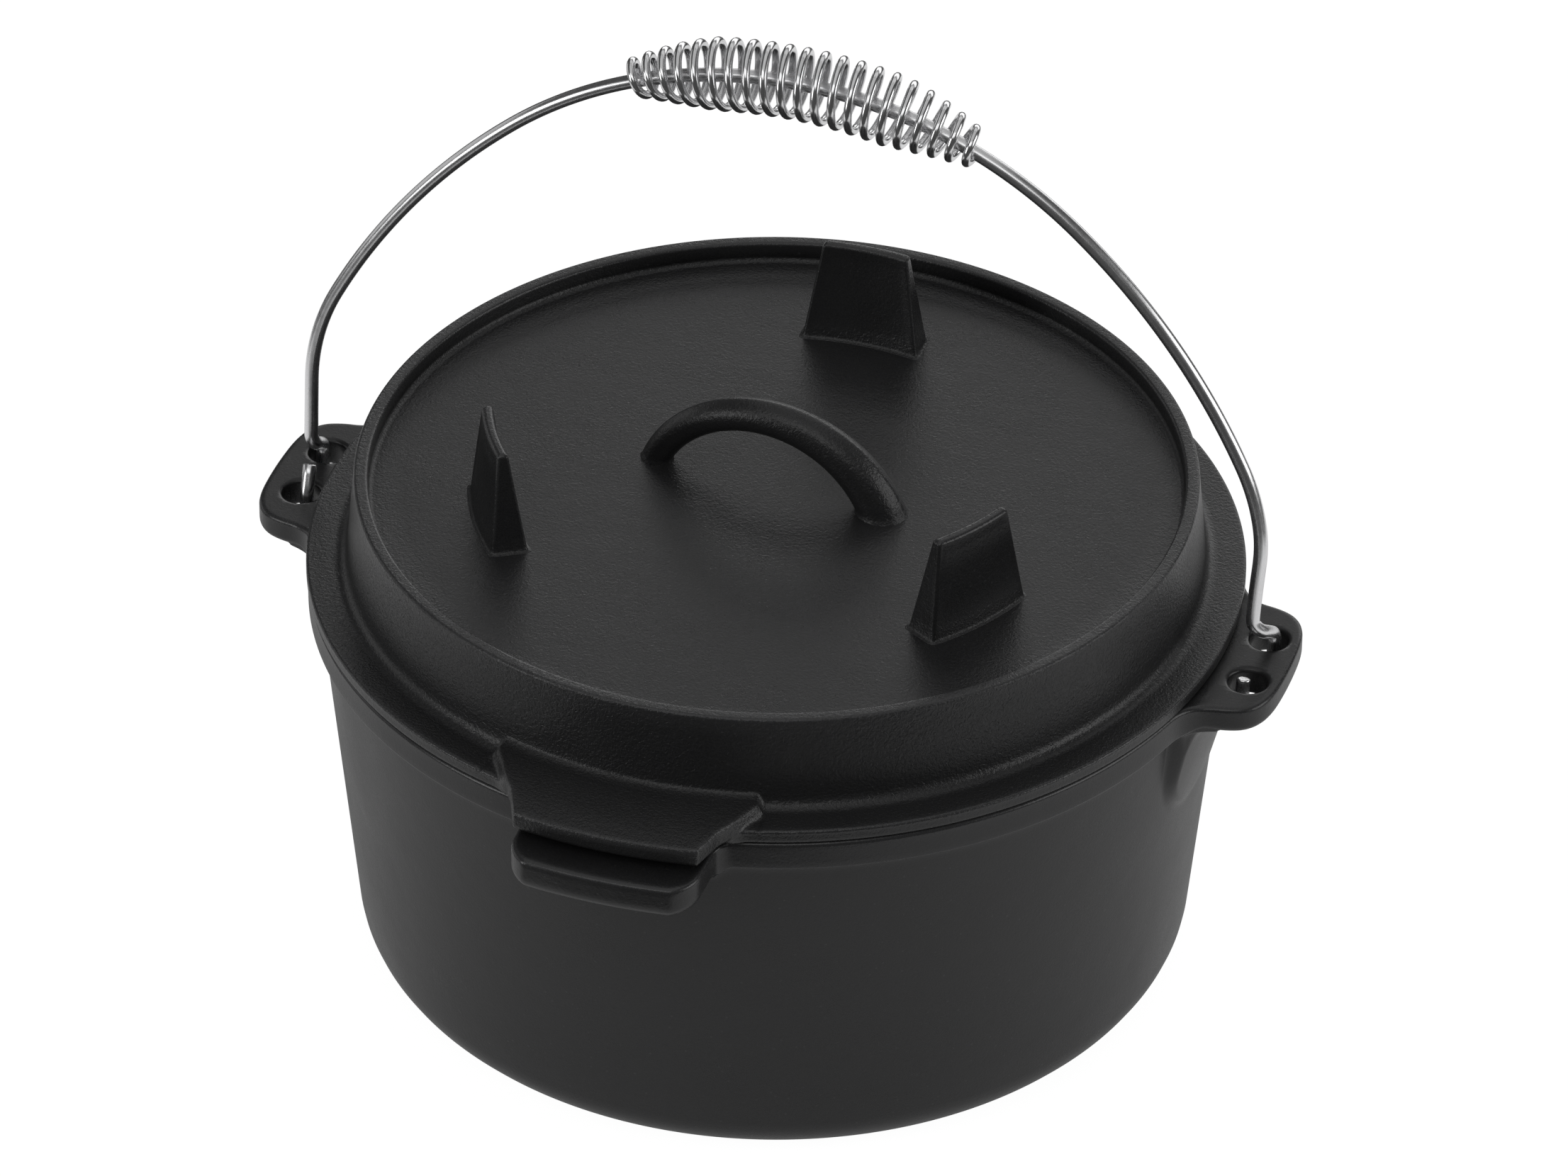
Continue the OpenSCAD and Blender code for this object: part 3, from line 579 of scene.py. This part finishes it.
upright, shoulder, flank = (foot_z - jog_top, 0, 0), (0, 74, 27), (0, 228, 23.4)
arch = follow((-hole_x, jog_top), 0, [upright, shoulder, flank, (0, crown_r, 79.2), flank, shoulder, upright])
arch[:, 0] += -right_foot_in * (arch[:, 0] > 0) * (1 - ease(jog_top, lean_from, arch[:, 1]))
left, right = hook(-1, 28, 6.5)[::-1], hook(1, 13, -1.2)
middle = np.concatenate([left[:-1], np.stack([arch[:, 0], 0 * arch[:, 0], arch[:, 1]], -1), right[1:]])
outward = np.sign(middle[:, 0])
twist = hook_yaw * np.clip((foot_z - middle[:, 2]) / (foot_z - jog_top), 0, 1) * outward
beside = np.stack([np.cos(twist) * outward, -np.abs(np.sin(twist)), 0 * twist], -1)
across = np.cross(beside, np.gradient(middle, axis=0))
in_arch = slice(len(left), -len(right))
across[in_arch] = np.stack([np.sin(twist), np.cos(twist), 0 * twist], -1)[in_arch]
points, faces, drawn = tube(middle, across, 24, wire_r)
bail = piece("bail_wire_drawn", stand(points), faces, steel("bail_steel", 0.84, 0.26), drawn=drawn)
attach(bail, "bail")
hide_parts("bail_wire")

# The grip: a barrel spring of thinner bright wire, wound in 21 curls and pushed over the top of the bail.
# Its end curls are tight enough to grip the wire, and its cut ends lie behind and below it.
turns, first_turn, coil_wire_r, coil_len, coil_shift = 20.9, -0.305, 1.4, 115.5, 3.5
coil_end_d, coil_gain, coil_end_up = 12.6, 10.9, 1.15
t = np.linspace(0, 1, 921)
swell = np.minimum(1, np.minimum(t, 1 - t) / 0.25)
swell = np.sin(swell * np.pi / 2) * 0.35 + swell * 0.65
coil_r = (coil_end_d + coil_gain * swell) / 2 - coil_wire_r
spine_r = crown_r + coil_end_up * (2 * t - 1) ** 2
heading = np.pi / 2 + ((t - 0.5) * coil_len + coil_shift) / crown_r
wound = 2 * np.pi * (turns * t + first_turn)
out = spine_r + coil_r * np.cos(wound)
middle = np.stack([-out * np.cos(heading), -coil_r * np.sin(wound), crown_z + out * np.sin(heading)], -1)
spine = np.stack([-spine_r * np.cos(heading), 0 * t, crown_z + spine_r * np.sin(heading)], -1)
points, faces, drawn = tube(middle, middle - spine, 14, coil_wire_r)
grip = piece("coil_grip_wound", stand(points), faces, steel("spring_steel", 0.84, 0.2), drawn=drawn)
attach(grip, "bail")
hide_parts("coil_grip")

# The floor: a sheet of white paper on which the pot stands, and which keeps its soft shadow.
# It glows for the camera and a little for reflections, so that wire and iron show a white room.
# For reflections the glow grows away from the pot, and it is weakest behind the pot's left: a painted shade of the pot
# on the floor's glow.
floor_x, floor_front, floor_back, floor_z = 600, -310, 800, -0.1
shaded_place = (-0.19, 0.07, 0)
paper = bpy.data.materials.new("paper")
paper.use_nodes = True
sheet = paper.node_tree.nodes["Principled BSDF"]
sheet.inputs["Base Color"].default_value = (0.9, 0.9, 0.9, 1)
sheet.inputs["Roughness"].default_value = 0.9
sheet.inputs["Specular IOR Level"].default_value = 0.0
flow = Flow(paper.node_tree)
glow = flow.node("ShaderNodeEmission", None, {"Color": (1, 1, 1, 1), "Strength": 1.13}, out="Emission")
seen = flow.node("ShaderNodeLightPath", out="Is Camera Ray")
mirrored = flow.node("ShaderNodeLightPath", out="Is Glossy Ray")
where = flow.node("ShaderNodeTexCoord", out="Object")
# Painted shade: the glow seen in reflections is dimmed near the pot and most of all behind its left.
away = flow.node("ShaderNodeVectorMath", {"operation": "LENGTH"}, {0: where}, out="Value")
lit = flow.node("ShaderNodeMapRange", {"interpolation_type": "SMOOTHSTEP"},
                {"Value": away, "From Min": 0.24, "From Max": 0.42, "To Min": 0.17, "To Max": 0.45})
from_shade = flow.node("ShaderNodeVectorMath", {"operation": "DISTANCE"}, {0: where, 1: shaded_place}, out="Value")
shade = flow.node("ShaderNodeMapRange", {"interpolation_type": "SMOOTHSTEP"},
                  {"Value": from_shade, "From Min": 0.05, "From Max": 0.18, "To Min": 0.1, "To Max": 1.0})
share = seen * 0.86 + mirrored * lit * shade
mixed = flow.node("ShaderNodeMixShader", None, {0: share, 1: Flow(paper.node_tree, sheet.outputs[0]), 2: glow})
mixed.into(paper.node_tree.nodes["Material Output"], "Surface")
floor = piece("floor", [(-floor_x, floor_front, floor_z), (floor_x, floor_front, floor_z),
                        (floor_x, floor_back, floor_z), (-floor_x, floor_back, floor_z)], [(0, 1, 2, 3)], paper)

# The studio: a white backdrop, soft boxes overhead, at the right and at the left front, and a weak panel at the left.
# All are flat lamps turned to the middle of the pot. The world is white to the camera and gives little light.
world = bpy.data.worlds.new("studio")
bpy.context.scene.world = world
world.use_nodes = True
flow = Flow(world.node_tree)
seen = flow.node("ShaderNodeLightPath", out="Is Camera Ray")
strength = seen * 0.94 + 0.06
sky = world.node_tree.nodes["Background"]
sky.inputs["Color"].default_value = (1, 1, 1, 1)
strength.into(sky, "Strength")
lamps = [("ceiling", (0, 0, 2), (2, 2), 5.6), ("front_box", (0, -1.3, 1.6), (2, 0.8), 6),
         ("rear_box", (0, 1.3, 1.6), (2, 0.8), 3), ("backdrop", (0, 2.2, 0.7), (2.4, 1), 9.6),
         ("right_box", (2, 0.2, 0.7), (1.6, 1), 10), ("left_box", (-1.5, -1.4, 0.6), (0.8, 1), 7.2),
         ("left_panel", (-2, 0.3, 0.5), (1.6, 1), 2.6)]
lamp_aim = Vector((0, 0, 0.1))
for name, place, size, power in lamps:
    lamp = bpy.data.lights.new(name, "AREA")
    lamp.shape, lamp.size, lamp.size_y, lamp.energy = "RECTANGLE", *size, power
    holder = bpy.data.objects.new(name, lamp)
    holder.location = place
    holder.rotation_mode = "QUATERNION"
    holder.rotation_quaternion = (lamp_aim - Vector(place)).to_track_quat("-Z", "Y")
    bpy.context.scene.collection.objects.link(holder)
bpy.context.scene.view_settings.view_transform = "Standard"

# The camera stands 3 m off, high to the right of the front, with a long lens, as the photograph was taken.
# Its place, its lens and its slight roll come from a fit to the pot's round edges and the bail.
azimuth, elevation, roll = np.radians([18.3, 35.59, 0.43])
aim_z, aim_right, camera_off = 0.12568, 0.002565, 3.0693
right = np.array([np.cos(azimuth), np.sin(azimuth), 0])
ahead = np.array([-np.sin(azimuth) * np.cos(elevation), np.cos(azimuth) * np.cos(elevation), -np.sin(elevation)])
up = np.cross(right, ahead)
eye = np.array([0, 0, aim_z]) + aim_right * right - camera_off * ahead
rolled_right = np.cos(roll) * right + np.sin(roll) * up
rolled_up = np.cos(roll) * up - np.sin(roll) * right
camera = bpy.data.objects.new("camera", bpy.data.cameras.new("camera"))
camera.data.lens, camera.data.sensor_width = 220.2, 36
camera.matrix_world = Matrix(np.vstack([np.stack([rolled_right, rolled_up, -ahead, eye], -1), [0, 0, 0, 1]]).tolist())
bpy.context.scene.collection.objects.link(camera)
bpy.context.scene.camera = camera
